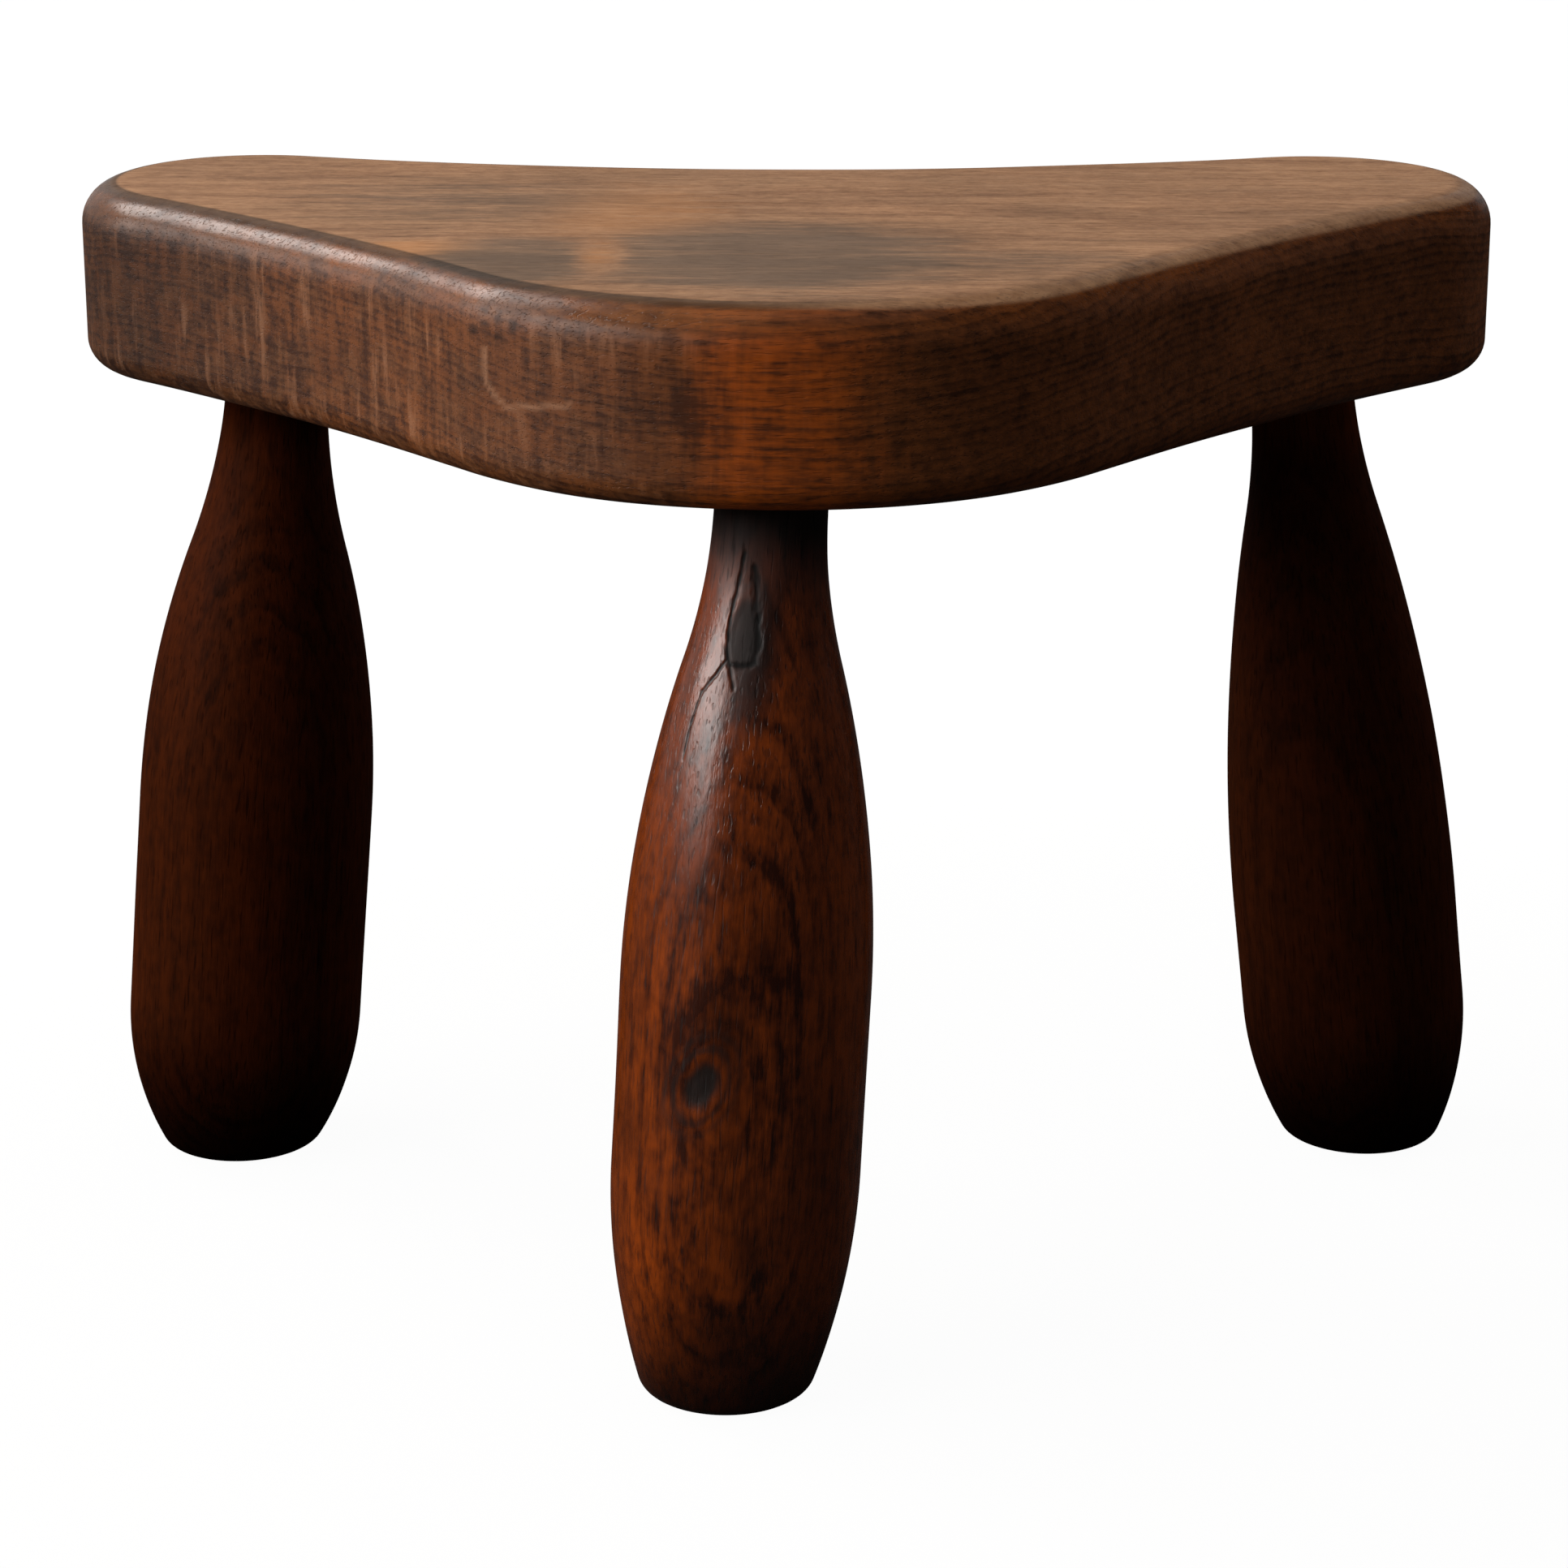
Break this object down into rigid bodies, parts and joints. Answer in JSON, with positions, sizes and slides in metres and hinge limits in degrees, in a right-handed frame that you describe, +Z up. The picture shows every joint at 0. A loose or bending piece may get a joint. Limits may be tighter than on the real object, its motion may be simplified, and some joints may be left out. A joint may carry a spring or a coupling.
{
  "type": "three-legged stool",
  "caption": "Low rustic wooden stool: a thick lobed slab seat with softly rounded edges on splayed, club-shaped turned legs.",
  "frame": {"origin": "on the floor, under the centre of the seat's front lobe, which is within a few millimetres of the middle of the whole stool", "axes": "+Z up, +X along the seat's long way, the single front leg towards -Y"},
  "size_m": [0.4148, 0.2564, 0.3],
  "materials": {
    "seat_wood": "dark stained hardwood slab, rubbed satin wax",
    "leg_wood": "dark red-brown stained hardwood, oiled satin",
    "wedge_wood": "raw split hardwood"
  },
  "bodies": {
    "root": {"seat": "seat_wood", "front_leg": "leg_wood", "left_leg": "leg_wood", "right_leg": "leg_wood", "front_wedge": "wedge_wood", "left_wedge": "wedge_wood", "right_wedge": "wedge_wood"}
  },
  "joints": []
}
